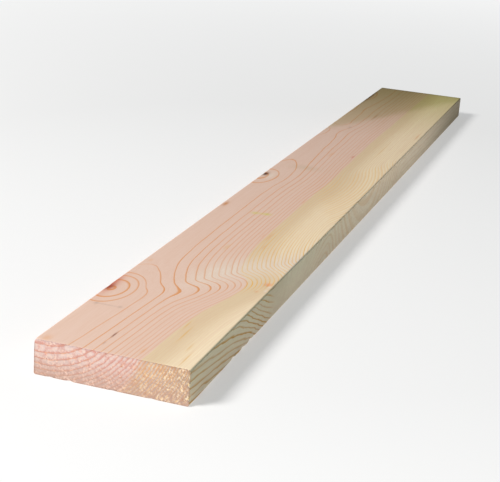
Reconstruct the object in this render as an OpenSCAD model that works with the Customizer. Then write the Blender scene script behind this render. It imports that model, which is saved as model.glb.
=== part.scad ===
// Planed softwood plank: one sawn length of timber, lying flat on a wide face.
// +X runs along the grain, +Y across the wide face and +Z up.
// The origin is the middle of the underside.

/* [Plank] */
// Length along the grain
plank_length = 1800; // [300:100:6000]
// Width of the two wide faces
plank_width = 195; // [70:5:300]
// Thickness between the two wide faces
plank_thickness = 45; // [16:1:100]

/* [Edges] */
// Radius that the planer leaves on the four long edges
edge_radius = 2.5; // [0.5:0.5:6]

/* [Hidden] */
timber_colour = [0.87, 0.75, 0.64];

// Cross-section: a rectangle with four rounded corners, centred on its middle
module plank_section() {
    square([plank_width - 2 * edge_radius, plank_thickness], center = true);
    square([plank_width, plank_thickness - 2 * edge_radius], center = true);
    for (side = [-1, 1], level = [-1, 1])
        translate([
            side * (plank_width / 2 - edge_radius),
            level * (plank_thickness / 2 - edge_radius)
        ])
            circle(r = edge_radius, $fn = 48);
}

// The whole plank: the section run along X and crosscut square at both ends
module plank() {
    color(timber_colour)
        translate([0, 0, plank_thickness / 2])
            rotate([90, 0, 90])
                linear_extrude(height = plank_length, center = true)
                    plank_section();
}

plank();
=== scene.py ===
import math

import bmesh
import bpy
from mathutils import Euler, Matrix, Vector


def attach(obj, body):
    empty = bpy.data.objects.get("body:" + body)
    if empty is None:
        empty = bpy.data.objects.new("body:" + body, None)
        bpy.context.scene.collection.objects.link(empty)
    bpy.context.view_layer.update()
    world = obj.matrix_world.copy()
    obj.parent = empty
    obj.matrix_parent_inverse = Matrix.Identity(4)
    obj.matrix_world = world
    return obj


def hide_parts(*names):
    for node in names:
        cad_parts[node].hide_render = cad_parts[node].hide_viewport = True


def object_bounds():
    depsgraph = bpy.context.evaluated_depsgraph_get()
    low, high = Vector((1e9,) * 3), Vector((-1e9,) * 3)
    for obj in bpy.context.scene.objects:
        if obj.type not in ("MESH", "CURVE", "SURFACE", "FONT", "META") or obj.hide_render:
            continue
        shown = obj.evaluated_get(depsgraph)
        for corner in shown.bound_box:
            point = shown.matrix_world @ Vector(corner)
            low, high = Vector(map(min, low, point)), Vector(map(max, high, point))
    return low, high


# One sawn and planed softwood plank, lying flat. Metres outside, millimetres inside the material.
# X runs along the grain, Y across the width, Z up from the floor.

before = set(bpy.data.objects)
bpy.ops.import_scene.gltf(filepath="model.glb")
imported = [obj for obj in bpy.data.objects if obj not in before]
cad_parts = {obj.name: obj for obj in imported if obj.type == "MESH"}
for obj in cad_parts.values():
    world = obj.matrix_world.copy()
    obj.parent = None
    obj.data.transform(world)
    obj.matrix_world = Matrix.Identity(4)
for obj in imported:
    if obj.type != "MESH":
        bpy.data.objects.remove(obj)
cad_low, cad_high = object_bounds()

MM = 0.001
LENGTH = (cad_high.x - cad_low.x) / MM
WIDTH = (cad_high.y - cad_low.y) / MM
THICKNESS = (cad_high.z - cad_low.z) / MM


# ---------------------------------------------------------------- camera, light, floor

CAMERA_PLACE = (-2.136, -0.537, 0.626)
CAMERA_TURN = (72.019, -4.164, -71.456)
CAMERA_LENS = 91.97


def place_camera():
    lens = bpy.data.cameras.new("camera")
    lens.lens = CAMERA_LENS
    lens.sensor_width = 36
    camera = bpy.data.objects.new("camera", lens)
    camera.location = CAMERA_PLACE
    camera.rotation_euler = Euler([math.radians(turn) for turn in CAMERA_TURN])
    bpy.context.scene.collection.objects.link(camera)
    bpy.context.scene.camera = camera


def soft_box(name, place, target, size, power, colour):
    lamp = bpy.data.lights.new(name, "AREA")
    lamp.shape = "DISK"
    lamp.size = size
    lamp.energy = power
    lamp.color = colour
    box = bpy.data.objects.new(name, lamp)
    box.location = place
    box.rotation_euler = (Vector(target) - Vector(place)).to_track_quat("-Z", "Y").to_euler()
    bpy.context.scene.collection.objects.link(box)


def light_studio():
    world = bpy.data.worlds.new("studio")
    bpy.context.scene.world = world
    world.use_nodes = True
    sky = world.node_tree.nodes["Background"]
    sky.inputs["Color"].default_value = (0.86, 0.96, 1.0, 1)
    sky.inputs["Strength"].default_value = 0.13
    soft_box("key", (-3.5, 2.8, 3.8), (-0.5, 0, 0), 1.8, 374, (1.0, 0.985, 0.965))
    soft_box("fill", (0.3, -2.2, 0.8), (0.2, 0, 0), 1.2, 2.6, (0.84, 0.97, 1.0))
    bpy.context.scene.view_settings.view_transform = "Standard"


def lay_floor():
    """A pale floor that stays pale towards the back, as a lit studio sweep does."""
    bpy.ops.mesh.primitive_plane_add(size=40, location=(0, 0, cad_low.z))
    floor = bpy.context.object
    floor.name = "floor"
    material = bpy.data.materials.new("pale_floor")
    material.use_nodes = True
    nodes, links = material.node_tree.nodes, material.node_tree.links
    shader = nodes["Principled BSDF"]
    shader.inputs["Base Color"].default_value = (0.5, 0.5, 0.5, 1)
    shader.inputs["Roughness"].default_value = 0.9
    shader.inputs["Emission Color"].default_value = (1, 1, 1, 1)
    place = nodes.new("ShaderNodeTexCoord")
    reach = nodes.new("ShaderNodeVectorMath")
    reach.operation = "LENGTH"
    glow = nodes.new("ShaderNodeMapRange")
    glow.inputs["From Min"].default_value = 0.8
    glow.inputs["From Max"].default_value = 5.0
    glow.inputs["To Min"].default_value = 0.44
    glow.inputs["To Max"].default_value = 0.9
    links.new(place.outputs["Object"], reach.inputs[0])
    links.new(reach.outputs["Value"], glow.inputs["Value"])
    links.new(glow.outputs[0], shader.inputs["Emission Strength"])
    floor.data.materials.append(material)


# ---------------------------------------------------------------- sums in a material

class Number:
    """A value inside the material, so that the grain is written as plain sums."""

    nodes = None
    links = None

    def __init__(self, socket):
        self.socket = socket

    def __add__(self, other):
        return work("ADD", self, other)

    def __radd__(self, other):
        return work("ADD", other, self)

    def __sub__(self, other):
        return work("SUBTRACT", self, other)

    def __rsub__(self, other):
        return work("SUBTRACT", other, self)

    def __mul__(self, other):
        return work("MULTIPLY", self, other)

    def __rmul__(self, other):
        return work("MULTIPLY", other, self)

    def __truediv__(self, other):
        return work("DIVIDE", self, other)

    def __rtruediv__(self, other):
        return work("DIVIDE", other, self)

    def __neg__(self):
        return work("MULTIPLY", self, -1.0)


def feed(slot, value):
    if isinstance(value, Number):
        Number.links.new(value.socket, slot)
    else:
        slot.default_value = value


def work(operation, *values):
    node = Number.nodes.new("ShaderNodeMath")
    node.operation = operation
    for slot, value in zip(node.inputs, values):
        feed(slot, value)
    return Number(node.outputs[0])


def root(value):
    return work("SQRT", value)


def power_of_e(value):
    return work("EXPONENT", value)


def smooth_min(first, second, blend):
    return work("SMOOTH_MIN", first, second, blend)


def smooth_max(first, second, blend):
    return work("SMOOTH_MAX", first, second, blend)


def bell(value, middle, half_width):
    offset = (value - middle) * (1.0 / half_width)
    return power_of_e(-(offset * offset))


def smooth_step(value, low, high):
    node = Number.nodes.new("ShaderNodeMapRange")
    node.interpolation_type = "SMOOTHSTEP"
    for name, part in (("Value", value), ("From Min", low), ("From Max", high)):
        feed(node.inputs[name], part)
    return Number(node.outputs[0])


def noise(x, y, z, detail=2.0, roughness=0.5):
    joined = Number.nodes.new("ShaderNodeCombineXYZ")
    for slot, value in zip(joined.inputs, (x, y, z)):
        feed(slot, value)
    node = Number.nodes.new("ShaderNodeTexNoise")
    Number.links.new(joined.outputs[0], node.inputs["Vector"])
    node.inputs["Scale"].default_value = 1.0
    node.inputs["Detail"].default_value = detail
    node.inputs["Roughness"].default_value = roughness
    return Number(node.outputs[0])


def linear(red, green, blue):
    """A colour given in the usual 0 to 255 steps, as the shader wants it."""
    def one(step):
        step = step / 255
        return step / 12.92 if step <= 0.04045 else ((step + 0.055) / 1.055) ** 2.4
    return (one(red), one(green), one(blue), 1.0)


def mix(amount, under, over, way="MIX"):
    node = Number.nodes.new("ShaderNodeMix")
    node.data_type = "RGBA"
    node.blend_type = way
    for slot, value in zip((node.inputs[0], node.inputs[6], node.inputs[7]), (amount, under, over)):
        feed(slot, value)
    return Number(node.outputs[2])


# ---------------------------------------------------------------- how the tree grew

PITH_ACROSS = 12.0      # from the left edge, looking from the near end
PITH_ABOVE = 70.0       # above the top face
FIRST_RING = 77.06

# place along, place across, lean, radius of its first ring, ring growth, stretch, blend
KNOTS = (
    (197.0, 8.5, 0.2, 21.2, 1.4, 1.7, 5.0),
    (845.0, 0.0, 0.2, 68.0, 0.62, 1.8, 8.0),
    (1676.0, -4.0, 0.2, 62.0, 1.3, 3.2, 4.0),
)


def growth_radius(along, across, down):
    """Distance from the pith, bent by the branch whorl that crosses the plank near its near end."""
    from_pith = across - PITH_ACROSS
    below_pith = down + PITH_ABOVE
    radius = root(from_pith * from_pith + below_pith * below_pith)
    leaning = along - down * 0.7
    past_inner = smooth_max(across - 62.0, 0.0, 20.0)
    after_crest = leaning - (across * 0.6 + past_inner + 175.0)
    past_middle = smooth_max(across - 84.0, 0.0, 10.0)
    past_outer = smooth_max(across - 105.0, 0.0, 30.0)
    drop = 28.0 * (1.0 - power_of_e(past_middle * (-1.0 / 38.0)))
    drop_place = past_outer * 0.40 + 196.0
    drop_width = past_outer * 0.16 + 17.0
    before = along * -0.037 - drop / (1.0 + power_of_e((drop_place - leaning) / drop_width))
    rise = 18.5 * work("TANH", (after_crest - 20.0) * (1.0 / 108.0))
    far_swell = 8.0 * bell(along, 1110.0, 80.0) + 15.0 * bell(along, 1260.0, 100.0)
    far_swell = far_swell + 5.8 * bell(along, 1515.0, 130.0)
    edge_swell = 3.0 * bell(along, 330.0, 45.0) + 6.2 * bell(along, 985.0, 85.0)
    edge_swell = (edge_swell - 3.5 * bell(along, 1345.0, 35.0)) * bell(across, 0.0, 45.0)
    dip = 3.2 * bell(along, 880.0, 80.0)
    after = rise + far_swell * power_of_e(across * (-1.0 / 65.0)) + edge_swell - dip
    gentle = smooth_step(across, 84.0, 52.0)
    turn_start = across * 0.85 + 132.0 - gentle * 30.0
    turn = smooth_step(leaning, turn_start, across * 1.5 + 145.0 + gentle * 25.0)
    bent = radius + before + (after - before) * turn
    inner = smooth_max(74.0 - bent, 0.0, 4.0) * 0.5
    outer = smooth_step(radius, 165.0, 188.0) * 1.5 - smooth_max(radius - 195.0, 0.0, 6.0) * 0.2
    return radius, bent + inner + outer, leaning


def with_knots(along, across, down, radius):
    for place, edge, lean, first, growth, stretch, blend in KNOTS:
        aside = (along - place) * (1.0 / stretch)
        inwards = across - edge + down * lean
        reach = root(aside * aside + inwards * inwards)
        radius = smooth_min(radius, reach * growth + first, blend)
    return radius


RING_OUTER = 3.15       # width of the outermost rings
RING_EXTRA = 6.37       # how much wider a ring is near the pith
RING_FADE = 36.4


def ring_number(radius):
    """Rings counted from the first one, and the width of the ring there."""
    swelling = power_of_e((radius - 80.0) * (1.0 / RING_FADE))
    logarithm = work("LOGARITHM", swelling * (RING_OUTER / RING_EXTRA) + 1.0, math.e)
    first = math.log(1 + RING_OUTER / RING_EXTRA * math.exp((FIRST_RING - 80) / RING_FADE))
    return (logarithm - first) * (RING_FADE / RING_OUTER), RING_EXTRA / swelling + RING_OUTER


# ---------------------------------------------------------------- timber

HEARTWOOD = linear(238, 206, 189)
SAPWOOD = linear(255, 236, 203)
YOUNG_SAPWOOD = linear(233, 210, 175)
LATEWOOD = linear(228, 160, 108)
SAP_LATEWOOD = linear(240, 184, 80)
SIDE_LATEWOOD = linear(218, 156, 40)
PALE_GRAIN = linear(242, 228, 212)
END_HEART = linear(219, 194, 188)
END_SAP = linear(202, 182, 170)
END_LATEWOOD = linear(200, 128, 112)
END_SAP_LATEWOOD = linear(210, 150, 100)
KNOT_CORE = linear(150, 58, 40)
DARK_KNOT = linear(74, 40, 34)
BROWN_KNOT = linear(96, 62, 40)
RESIN = linear(232, 168, 110)
STREAK = linear(228, 178, 96)
GREY_HAIR = linear(160, 140, 125)
END_RESIN = linear(214, 112, 92)
END_RESIN_BROWN = linear(176, 108, 52)

# place along, place across, half length, half breadth, strength, colour
TOP_MARKS = (
    (206.0, 2.0, 40.0, 9.0, 0.6, linear(220, 132, 104)),
    (202.0, 3.0, 13.0, 6.0, 0.9, KNOT_CORE),
    (225.0, 2.0, 22.0, 4.0, 0.6, linear(196, 96, 70)),
    (852.0, 17.0, 24.0, 7.0, 0.5, PALE_GRAIN),
    (860.0, 5.0, 11.0, 5.0, 1.0, DARK_KNOT),
    (1668.0, 0.5, 80.0, 5.0, 1.0, BROWN_KNOT),
    (54.0, 77.0, 9.0, 1.3, 0.8, linear(120, 70, 60)),
    (26.0, 77.0, 5.0, 1.0, 0.3, linear(120, 70, 60)),
    (9.0, 12.0, 9.0, 5.0, 0.45, RESIN),
    (26.0, 126.0, 9.0, 2.0, 0.5, RESIN),
    (125.0, 142.0, 14.0, 1.2, 0.6, STREAK),
    (96.0, 150.0, 24.0, 1.2, 0.7, STREAK),
    (61.0, 170.0, 12.0, 1.2, 0.5, STREAK),
    (26.0, 178.0, 20.0, 1.2, 0.6, STREAK),
    (312.0, 186.0, 6.0, 5.0, 0.7, linear(238, 150, 96)),
    (139.0, 14.0, 5.0, 2.6, 0.3, GREY_HAIR),
    (140.0, 46.0, 4.0, 2.6, 0.3, GREY_HAIR),
    (139.0, 28.0, 2.0, 18.0, 0.22, GREY_HAIR),
    (325.0, 10.0, 6.0, 3.0, 0.35, RESIN),
    (513.0, 123.0, 20.0, 1.5, 0.6, RESIN),
    (513.0, 113.0, 9.0, 1.3, 0.4, RESIN),
    (435.0, 83.0, 12.0, 3.0, 0.35, STREAK),
    (464.0, 131.0, 12.0, 1.5, 0.4, RESIN),
    (723.0, 116.0, 14.0, 1.5, 0.4, RESIN),
    (287.0, 190.0, 6.0, 1.6, 0.7, PALE_GRAIN),
    (279.0, 180.0, 4.0, 2.5, 0.5, RESIN),
    (303.0, 190.0, 5.0, 1.6, 0.8, PALE_GRAIN),
    (644.0, 7.0, 12.0, 3.4, 0.9, linear(206, 138, 82)),
    (620.0, 65.0, 6.0, 5.0, 0.5, linear(214, 206, 90)),
    (624.0, 84.0, 6.0, 6.0, 0.6, linear(214, 206, 90)),
    (622.0, 74.0, 5.0, 12.0, 0.3, linear(214, 206, 90)),
    (942.0, 56.0, 16.0, 26.0, 0.2, linear(170, 160, 110)),
    (1318.0, 43.0, 12.0, 3.0, 0.3, GREY_HAIR),
    (1458.0, 65.5, 26.0, 1.8, 0.5, linear(176, 116, 66)),
    (1320.0, 186.0, 26.0, 1.8, 0.6, RESIN),
    (1155.0, 149.0, 55.0, 1.6, 0.4, STREAK),
    (1070.0, 70.0, 20.0, 2.5, 0.4, RESIN),
    (1072.0, 111.0, 9.0, 2.0, 0.6, linear(210, 110, 80)),
)


# place across, place down, half breadth, half height, strength, colour
END_MARKS = (
    (15.0, 17.0, 1.8, 1.4, 0.7, END_RESIN),
    (59.0, 4.5, 2.2, 1.5, 0.6, END_RESIN),
    (66.0, 9.0, 1.8, 1.3, 0.4, END_RESIN),
    (76.0, 1.5, 2.8, 1.6, 0.5, END_RESIN),
    (110.5, 27.0, 1.2, 1.0, 0.8, END_RESIN_BROWN),
    (111.0, 13.0, 1.3, 1.2, 0.6, END_RESIN_BROWN),
    (129.5, 26.0, 1.4, 1.0, 0.6, END_RESIN_BROWN),
    (11.0, 2.0, 2.4, 1.4, 0.4, END_RESIN),
    (20.0, 9.0, 2.4, 1.6, 0.35, END_RESIN),
    (6.0, 9.0, 2.2, 1.8, 0.35, END_RESIN),
    (142.0, 39.5, 2.4, 1.8, 0.35, END_RESIN_BROWN),
    (188.0, 38.0, 3.2, 1.8, 0.35, END_RESIN_BROWN),
    (185.0, 13.0, 7.0, 5.0, 0.3, GREY_HAIR),
    (193.5, 10.0, 2.0, 14.0, 0.35, GREY_HAIR),
)


# place along, place down, half length, half height, strength, colour
SIDE_MARKS = (
    (8.0, 21.0, 3.0, 1.2, 0.7, PALE_GRAIN),
    (6.0, 34.0, 2.5, 1.5, 0.6, PALE_GRAIN),
    (160.0, 38.0, 10.0, 1.6, 0.35, PALE_GRAIN),
    (196.0, 41.0, 12.0, 1.6, 0.4, PALE_GRAIN),
    (222.0, 37.0, 14.0, 1.6, 0.35, PALE_GRAIN),
    (246.0, 40.0, 14.0, 1.4, 0.3, PALE_GRAIN),
    (157.0, 42.5, 9.0, 1.6, 0.5, linear(110, 82, 50)),
    (120.0, 43.5, 16.0, 1.4, 0.4, linear(110, 82, 50)),
)


def marked(colour, along, across, where, marks):
    for place, edge, half_length, half_breadth, strength, tint in marks:
        lengthwise = (along - place) * (1.0 / half_length)
        crosswise = (across - edge) * (1.0 / half_breadth)
        amount = power_of_e(-(lengthwise * lengthwise + crosswise * crosswise)) * strength
        colour = mix(amount * where, colour, tint)
    return colour


def timber():
    material = bpy.data.materials.new("planed_softwood")
    material.use_nodes = True
    tree = material.node_tree
    Number.nodes, Number.links = tree.nodes, tree.links
    shader = tree.nodes["Principled BSDF"]
    place = tree.nodes.new("ShaderNodeTexCoord")
    split = tree.nodes.new("ShaderNodeSeparateXYZ")
    tree.links.new(place.outputs["Object"], split.inputs[0])
    x, y, z = (Number(socket) for socket in split.outputs)
    along = x * 1000.0 + LENGTH / 2
    across = WIDTH / 2 - y * 1000.0
    down = THICKNESS - z * 1000.0

    on_top = smooth_step(down, 2.4, 0.8)
    on_right = smooth_step(across, WIDTH - 2.4, WIDTH - 0.8)

    ruffle = noise(along * 0.05, across * 0.12, down * 0.12, 2.0, 0.6) - 0.5
    torn = noise(along * 0.2, across * 0.35, down * 0.35, 2.0, 0.6) - 0.5
    from_middle = work("ABSOLUTE", along - LENGTH / 2) + torn * 5.0
    on_end = smooth_step(from_middle, LENGTH / 2 - 1.0, LENGTH / 2 - 0.2)
    clean_end = smooth_step(from_middle - torn * 5.0, LENGTH / 2 - 0.7, LENGTH / 2 - 0.3)
    on_end = smooth_max(on_end, clean_end, 0.01)
    near_end = smooth_step(along, 5.0, 1.0)
    plain, bent, leaning = growth_radius(along, across, down)
    wobble = noise(along * 0.02, across * 0.07, down * 0.12, 1.0) - 0.5
    wobble = wobble * (on_right * 1.2 + 1.0) + ruffle * (on_end * 4.0 + on_right * 0.5)
    radius = with_knots(along, across, down, bent + wobble)
    in_knot = smooth_step(bent - radius, 0.0, 6.0)
    angle = work("ARCTAN2", across - PITH_ACROSS, down + PITH_ABOVE)
    rings, ring_width = ring_number(radius)
    inward = (1.0 - work("FRACT", rings)) * ring_width
    top_steep = smooth_max(work("ABSOLUTE", across - PITH_ACROSS) / plain, 0.22, 0.1)
    side_steep = (down + PITH_ABOVE) / plain * 1.6
    steep = top_steep + (side_steep * 1.25 - top_steep) * on_right
    steep = steep + (1.5 - steep) * smooth_min(on_end + in_knot, 1.0, 0.1)
    thick = (ring_width * 0.1 + 0.9) * steep
    late = smooth_step(inward, 0.0, 0.25) * smooth_step(inward / thick, 1.4, 0.35)

    blotch = noise(along * 0.012, across * 0.04, down * 0.04, 2.0)
    fibre = noise(along * 0.03, radius * 0.9, angle * 60.0, 3.0, 0.65)
    grain = noise(along * 0.004, radius * 0.35, angle * 9.0, 2.0)
    heart_radius = plain + (bent - plain) * 0.75
    heart_edge = heart_radius - down * 0.25 + (blotch - 0.5) * 4.0
    heart = smooth_step(heart_edge, 142.0 + on_end * 5.0, 139.0 - on_end * 6.0)

    ring_mood = noise(work("FLOOR", rings) * 0.83, along * 0.003, 3.7, 1.0)
    inner = smooth_step(radius, 118.0, 96.0)
    near_sap = (1.0 - heart) * smooth_step(leaning - across * 0.85, 150.0, 110.0) * on_top
    turned = smooth_step(along, 285.0, 325.0)
    side_line = 1.0 - turned + smooth_step(along, 430.0, 600.0) * 0.45
    strength = (smooth_step(ring_mood, 0.3, 0.65) * 0.3 + 0.45 + inner * 0.4) * (1.0 - near_sap * 0.8)
    strength = strength * (1.0 - on_right * (1.0 - side_line))
    knee = bell(leaning - across * 0.85, 157.0, 18.0) * smooth_step(across, 60.0, 80.0) * on_top
    past_turn = smooth_step(along, 330.0, 480.0)
    hook_fade = bell(along, 322.0, 22.0) * bell(across, 10.0, 14.0)
    sap_fade = past_turn * (1.0 - heart) * smooth_step(along, 440.0, 640.0) * 0.7
    line = late * strength * (0.9 + knee * 0.5) * (1.0 + past_turn * 0.3 - sap_fade)
    line = line * (1.0 - hook_fade * 0.6)
    line = line * (1.0 + on_right * 0.5)

    outer_sap = smooth_step(radius, 150.0, 184.0)
    colour = mix(heart, mix(outer_sap, YOUNG_SAPWOOD, SAPWOOD), HEARTWOOD)
    pale = bell(along - across * 1.1, 205.0, 60.0) * smooth_step(across, 60.0, 110.0)
    colour = mix(pale * 0.8 * on_top, colour, PALE_GRAIN)
    colour = mix((grain - 0.42) * 0.5, colour, linear(226, 178, 150))
    colour = mix((fibre - 0.5) * 0.6 + 0.1, colour, linear(214, 172, 140))
    late_colour = mix(on_right, mix(heart, SAP_LATEWOOD, LATEWOOD), SIDE_LATEWOOD)
    colour = mix(line, colour, late_colour)
    colour = marked(colour, along, across, on_top, TOP_MARKS)
    colour = marked(colour, along, down, on_right, SIDE_MARKS)

    rays = noise(angle * 16.0 + ruffle * 1.2, radius * 0.07, along * 0.02, 2.0, 0.6)
    speckle = noise(across * 0.2, down * 0.3, along * 0.1, 3.0, 0.7)
    end_dark = mix(heart, END_SAP_LATEWOOD, END_LATEWOOD)
    end_late = smooth_step(inward, 0.0, 0.7) * smooth_step(inward / thick, 1.9, 0.5)
    end_colour = mix(heart, END_SAP, END_HEART)
    end_colour = mix(end_late * (speckle * 2.4 - 0.4), end_colour, end_dark)
    end_colour = mix(smooth_step(rays, 0.46, 0.66) * 0.5, end_colour, end_dark)
    end_colour = mix((speckle - 0.5) * (heart * 1.3 + 1.0), end_colour, linear(240, 224, 206))
    end_colour = mix(smooth_step(across, 140.0, 195.0) * 0.42, end_colour, linear(166, 134, 108))
    # Painted shade: the sawn end grows darker towards the bottom.
    end_colour = mix(smooth_step(down, 5.0, 50.0) * 0.85, end_colour, linear(186, 152, 136))
    sawdust_edge = smooth_step(down + ruffle * 3.0, THICKNESS - 1.6, THICKNESS - 0.2)
    end_colour = mix(sawdust_edge * 0.5, end_colour, linear(120, 90, 72))
    end_colour = marked(end_colour, across, down, near_end, END_MARKS)
    colour = mix(on_end, colour, end_colour)

    # Three tones painted by place on the plank. The first makes the top darker and greener past a
    # slanting line; its cause is not known.
    # The second is painted shade at the top of the right side towards the near end, the third painted
    # shade that darkens top and side towards the far end. Leave out the MULTIPLY lines to relight the
    # plank.
    # The top grows darker and greener past a slanting line across it.
    slant = along - across * 2.5 + (blotch - 0.5) * 90.0
    slant_darkening = smooth_step(slant, 1215.0, 1330.0)
    # Painted shade: top and side grow darker and greener towards the far end.
    far_painted_shade = smooth_step(along - across * 0.3 * on_top, 1180.0, 1860.0)
    far_painted_shade_colour = mix(smooth_step(across, 60.0, 150.0), linear(184, 186, 150), linear(216, 222, 184))
    colour = mix(slant_darkening * on_top, colour, linear(232, 236, 218), "MULTIPLY")
    # Painted shade: the right side face is darker and greener near its top, towards the near end.
    side_painted_shade = on_right * smooth_step(along, 1000.0, 350.0) * smooth_step(down, 60.0, 0.0)
    colour = mix(side_painted_shade, colour, linear(222, 232, 226), "MULTIPLY")
    colour = mix(far_painted_shade, colour, mix(on_right, far_painted_shade_colour, linear(140, 134, 106)), "MULTIPLY")

    Number.links.new(colour.socket, shader.inputs["Base Color"])
    Number.links.new((fibre * 0.2 + on_end * 0.25 + 0.45).socket, shader.inputs["Roughness"])
    shader.inputs["Specular IOR Level"].default_value = 0.35
    relief = line * 0.05 + fibre * 0.06 + on_end * (speckle * 0.25 + late * 0.15)
    bump = tree.nodes.new("ShaderNodeBump")
    bump.inputs["Strength"].default_value = 0.7
    bump.inputs["Distance"].default_value = 0.001
    Number.links.new(relief.socket, bump.inputs["Height"])
    Number.links.new(bump.outputs[0], shader.inputs["Normal"])
    return material


# ---------------------------------------------------------------- the plank's shape

LENGTH_CUTS = 89
WIDTH_CUTS = 63
THICKNESS_CUTS = 13
EDGE_RADIUS = 2.5 * MM
RIM_BEVEL = 0.5 * MM
SAW_DEPTH = 0.9 * MM

# from and to along the plank where the mesh is four times finer
FINE_STRETCHES = ((0, 45), (125, 335), (635, 655), (835, 885))

# place along, across and down, then how far it moves, then its reach: all in millimetres
DENTS = (
    (148, 194, 45, (0, 0.7, 0.9), 7),
    (156, 194, 45, (0, 1.0, 1.2), 6),
    (190, 194, 45, (0, 0.9, 1.0), 8),
    (222, 194, 45, (0, 1.2, 1.4), 9),
    (236, 194, 45, (0, 0.6, 0.8), 8),
    (0, 47, 45, (0.9, 0, 1.5), 5),
    (0, 20, 45, (0.6, 0, 0.5), 6),
    (0, 102, 45, (0.5, 0, 0.4), 6),
    (0, 150, 45, (0.5, 0, 0.5), 8),
    (0, 195, 20, (1.4, 1.0, 0), 4),
    (0, 195, 35, (1.8, 1.2, 0), 5),
    (0, 195, 0, (0.8, 0.6, -0.6), 5),
    (0, 0, 0, (0.5, -0.5, -0.5), 5),
    (312, 186, 0, (0, 0, -0.8), 6),
    (303, 190, 0, (0, 0, -0.5), 4),
    (287, 191, 0, (0, 0, -0.5), 4),
    (278, 180, 0, (0, 0, -0.4), 4),
    (858, 4, 0, (0, 0, -0.6), 9),
    (644, 7, 0, (0, 0, -0.3), 6),
    (205, 2, 0, (0, 0, -0.4), 12),
)


def choose_edges(piece, wanted):
    """Selects the edges whose two ends satisfy wanted, and nothing else."""
    mesh = bmesh.from_edit_mesh(piece.data)
    bpy.ops.mesh.select_mode(type="EDGE")
    for edge in mesh.edges:
        edge.select_set(False)
    for edge in mesh.edges:
        first, second = (corner.co for corner in edge.verts)
        if wanted(first, second):
            edge.select_set(True)
    bmesh.update_edit_mesh(piece.data)


def runs_along(axis):
    def wanted(first, second):
        other = [n for n in range(3) if n != axis]
        return all(abs(first[n] - second[n]) < 1e-6 for n in other)
    return wanted


def in_stretch(start, end):
    low, high = cad_low.x + start * MM, cad_low.x + end * MM
    straight = runs_along(0)

    def wanted(first, second):
        middle = (first.x + second.x) / 2
        return straight(first, second) and low < middle < high
    return wanted


def at_side_and_face(point):
    at_side = abs(abs(point.y) - cad_high.y) < 1e-6
    return at_side and min(abs(point.z - cad_low.z), abs(point.z - cad_high.z)) < 1e-6


def on_long_arris(first, second):
    along_x = abs(first.x - second.x) > 1e-6
    return along_x and at_side_and_face(first) and at_side_and_face(second)


def inside_sawn_end(first, second):
    inset = EDGE_RADIUS + 2 * MM
    for point in (first, second):
        at_end = cad_high.x - abs(point.x) < 1e-6
        middle = min(cad_high.y - abs(point.y), point.z - cad_low.z, cad_high.z - point.z) > inset
        if not (at_end and middle):
            return False
    return True


def choose_rims(piece):
    """Selects the loop of edges round each sawn end."""
    mesh = bmesh.from_edit_mesh(piece.data)
    bpy.ops.mesh.select_mode(type="EDGE")
    for edge in mesh.edges:
        at_end = all(abs(abs(corner.co.x) - cad_high.x) < 1e-6 for corner in edge.verts)
        caps = sum(abs(face.normal.x) > 0.9 for face in edge.link_faces)
        edge.select_set(at_end and caps == 1)
    bmesh.update_edit_mesh(piece.data)


def dent(piece, along, across, down, move, reach):
    """Pushes one small place inwards, where the saw or planer tore the wood."""
    place = Vector((cad_low.x + along * MM, cad_high.y - across * MM, cad_high.z - down * MM))
    mesh = bmesh.from_edit_mesh(piece.data)
    bpy.ops.mesh.select_mode(type="VERT")
    bpy.ops.mesh.select_all(action="DESELECT")
    nearest = min(mesh.verts, key=lambda corner: (corner.co - place).length_squared)
    nearest.select_set(True)
    bmesh.update_edit_mesh(piece.data)
    bpy.ops.transform.translate(
        value=Vector(move) * MM,
        use_proportional_edit=True,
        proportional_edit_falloff="SMOOTH",
        proportional_size=reach * MM,
    )


def saw_ends(piece):
    """Roughens both sawn ends, always inwards."""
    ends = piece.vertex_groups.new(name="sawn_ends")
    near_cap = [v.index for v in piece.data.vertices if cad_high.x - abs(v.co.x) < RIM_BEVEL * 0.2]
    ends.add(near_cap, 1.0, "REPLACE")
    for name, grain_size, depth in (("saw_marks", 1.6 * MM, 0.6), ("saw_waves", 9 * MM, 0.4)):
        texture = bpy.data.textures.new(name, "CLOUDS")
        texture.noise_scale = grain_size
        rough = piece.modifiers.new(name, "DISPLACE")
        rough.texture = texture
        rough.texture_coords = "LOCAL"
        rough.vertex_group = "sawn_ends"
        rough.mid_level = 1.0
        rough.strength = SAW_DEPTH * depth
        bpy.ops.object.modifier_apply(modifier=rough.name)
    piece.vertex_groups.remove(piece.vertex_groups["sawn_ends"])


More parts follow.
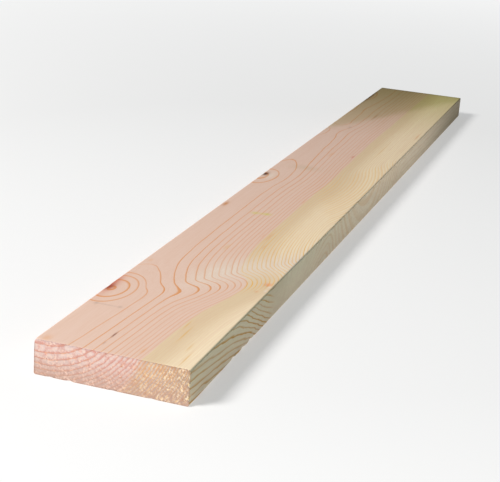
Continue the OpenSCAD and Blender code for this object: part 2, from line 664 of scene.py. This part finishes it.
def sawn_blank():
    centre = (cad_low + cad_high) / 2
    bpy.ops.object.select_all(action="DESELECT")
    bpy.ops.mesh.primitive_cube_add(size=1, location=centre)
    plank = bpy.context.object
    plank.name = "sawn_plank"
    plank.scale = cad_high - cad_low
    bpy.ops.object.transform_apply(location=True, rotation=True, scale=True)
    bpy.ops.object.mode_set(mode="EDIT")
    for axis, cuts in enumerate((LENGTH_CUTS, WIDTH_CUTS, THICKNESS_CUTS)):
        choose_edges(plank, runs_along(axis))
        bpy.ops.mesh.subdivide(number_cuts=cuts)
    for start, end in FINE_STRETCHES:
        choose_edges(plank, in_stretch(start, end))
        bpy.ops.mesh.subdivide(number_cuts=3)
    choose_edges(plank, on_long_arris)
    bpy.ops.mesh.bevel(offset=EDGE_RADIUS, segments=4, affect="EDGES", clamp_overlap=False)
    choose_rims(plank)
    bpy.ops.mesh.bevel(offset=RIM_BEVEL, segments=2, affect="EDGES", clamp_overlap=False)
    choose_edges(plank, inside_sawn_end)
    bpy.ops.mesh.subdivide(number_cuts=1)
    for along, across, down, move, reach in DENTS:
        dent(plank, along, across, down, move, reach)
    bpy.ops.object.mode_set(mode="OBJECT")
    saw_ends(plank)
    bpy.ops.object.shade_smooth_by_angle(angle=math.radians(40))
    return plank


# ---------------------------------------------------------------- flat map of the six faces

STRIP_LENGTH = 0.87
STRIP_START = 0.005
END_START = 0.893
END_BREADTH = 0.1


def flat_place(normal, point):
    """Where a point of the face that looks along normal lies on the flat map, 0 to 1 both ways."""
    along = (point.x - cad_low.x) / (cad_high.x - cad_low.x)
    across = (cad_high.y - point.y) / (cad_high.y - cad_low.y)
    up = (point.z - cad_low.z) / (cad_high.z - cad_low.z)
    turned = [abs(part) for part in normal]
    if turned[0] == max(turned):
        start = 0.5 if normal.x > 0 else 0.02
        return END_START + up * END_BREADTH, start + across * 0.42
    if turned[2] == max(turned):
        start = 0.01 if normal.z > 0 else 0.4
        return STRIP_START + along * STRIP_LENGTH, start + across * 0.375
    start = 0.79 if normal.y < 0 else 0.89
    return STRIP_START + along * STRIP_LENGTH, start + up * 0.0865


def lay_flat_map(piece):
    flat = piece.data.uv_layers.new(name="OFBake")
    for face in piece.data.polygons:
        for corner in face.loop_indices:
            point = piece.data.vertices[piece.data.loops[corner].vertex_index].co
            flat.data[corner].uv = flat_place(face.normal, point)


place_camera()
light_studio()
lay_floor()
plank = sawn_blank()
lay_flat_map(plank)
plank.data.materials.append(timber())

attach(plank, "root")
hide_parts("plank")
